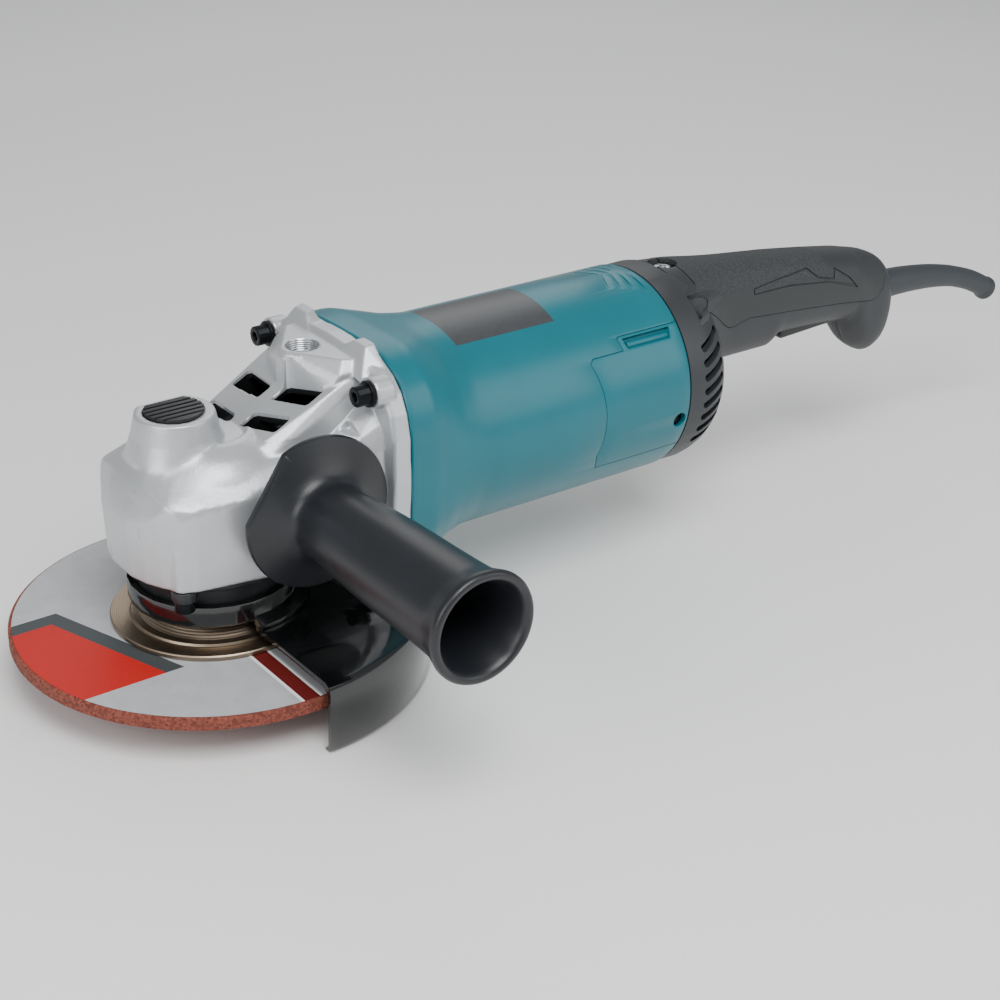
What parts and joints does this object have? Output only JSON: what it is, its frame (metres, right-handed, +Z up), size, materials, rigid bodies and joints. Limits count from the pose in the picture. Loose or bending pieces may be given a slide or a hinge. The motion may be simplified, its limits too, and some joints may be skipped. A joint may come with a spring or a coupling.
{
  "type": "angle grinder",
  "caption": "Corded angle grinder with a bevel-gear head, depressed-centre wheel, half guard, barrel motor housing, screw-in side handle and bar handle with a paddle trigger.",
  "frame": {"origin": "middle of the spindle's lower end face", "axes": "+X from the spindle towards the rear handle, +Z up along the spindle away from the wheel, side handle along -Y"},
  "size_m": [0.6019, 0.2684, 0.1465],
  "materials": {
    "abrasive": "coarse matt resin-bonded grit with a printed paper disc",
    "flange_steel": "turned",
    "steel": "ground and turned",
    "black_screw": "black oxide",
    "guard_black": "gloss black",
    "casting": "silver-painted die casting",
    "black_plastic": "satin",
    "laminate": "stacked sheet",
    "copper": "varnished wire",
    "housing": "satin gloss",
    "brass": "stamped",
    "carbon": "matt",
    "dark_plastic": "fine grain",
    "soft_grip": "stippled",
    "rubber": "matt"
  },
  "bodies": {
    "housing": {"spindle_bearing": "steel", "needle_bearing": "steel", "lock_spring": "steel", "front_bearing": "steel", "rear_bearing": "steel", "bearing_retainer": "steel", "handle_neck_screw": "steel", "bearing_box": "black_screw", "bearing_box_screw_1": "black_screw", "bearing_box_screw_2": "black_screw", "bearing_box_screw_3": "black_screw", "bearing_box_screw_4": "black_screw", "gear_case_screw_1": "black_screw", "gear_case_screw_2": "black_screw", "gear_case_screw_3": "black_screw", "gear_case_screw_4": "black_screw", "side_cover_screw_left": "black_screw", "side_cover_screw_right": "black_screw", "handle_screw_1": "black_screw", "handle_screw_2": "black_screw", "gear_case": "casting", "fan_baffle": "black_plastic", "power_switch": "black_plastic", "cord_clamp": "black_plastic", "field_core": "laminate", "field_coil_upper": "copper", "field_coil_lower": "copper", "motor_housing": "housing", "side_cover_left": "housing", "side_cover_right": "housing", "brush_holder_left": "brass", "brush_holder_right": "brass", "carbon_brush_left": "carbon", "carbon_brush_right": "carbon", "handle_half_left": "dark_plastic", "handle_half_right": "dark_plastic", "rear_cover": "dark_plastic", "soft_grip": "soft_grip", "cord_guard": "rubber"},
    "spindle_group": {"grinding_wheel": "abrasive", "inner_flange": "flange_steel", "lock_nut": "steel", "spindle": "steel", "ring_gear": "steel"},
    "armature": {"pinion": "steel", "armature_shaft": "steel", "armature_core": "laminate", "armature_windings_front": "copper", "armature_windings_rear": "copper", "commutator": "copper", "cooling_fan": "black_plastic"},
    "guard": {"wheel_guard": "guard_black", "guard_collar": "guard_black", "guard_clamp_screw": "steel"},
    "lock": {"lock_button": "black_plastic", "lock_pin": "steel"},
    "trigger": {"trigger": "black_plastic"},
    "side_handle": {"side_handle_grip": "black_plastic", "side_handle_bolt": "steel"}
  },
  "joints": [
    {"name": "spindle_spin", "type": "hinge", "parent": "housing", "child": "spindle_group", "pos_m": [0, 0, 0], "axis": [0, 0, 1], "continuous": true},
    {"name": "armature_spin", "type": "hinge", "parent": "housing", "child": "armature", "pos_m": [0, 0, 0.075], "axis": [1, 0, 0], "continuous": true},
    {"name": "guard_turn", "type": "hinge", "parent": "housing", "child": "guard", "pos_m": [0, 0, 0.028], "axis": [0, 0, 1], "range_deg": [-90, 90]},
    {"name": "lock_button_press", "type": "slide", "parent": "housing", "child": "lock", "axis": [0, 0, -1], "range_m": [0, 0.0045], "stiffness_N_per_m": 700, "springref_m": -0.005, "deforming": ["lock_spring"]},
    {"name": "trigger_squeeze", "type": "hinge", "parent": "housing", "child": "trigger", "pos_m": [0.335, 0, 0.075], "axis": [0, -1, 0], "range_deg": [0, 6], "stiffness_Nm_per_rad": 0.6, "springref_deg": -8.59},
    {"name": "side_handle_turn", "type": "hinge", "parent": "housing", "child": "side_handle", "pos_m": [0.0245, -0.05, 0.074], "axis": [0, -1, 0], "range_deg": [0, 360]}
  ],
  "couplings": [
    {"joint": "armature_spin", "follows": "spindle_spin", "ratio": 3.3333}
  ]
}
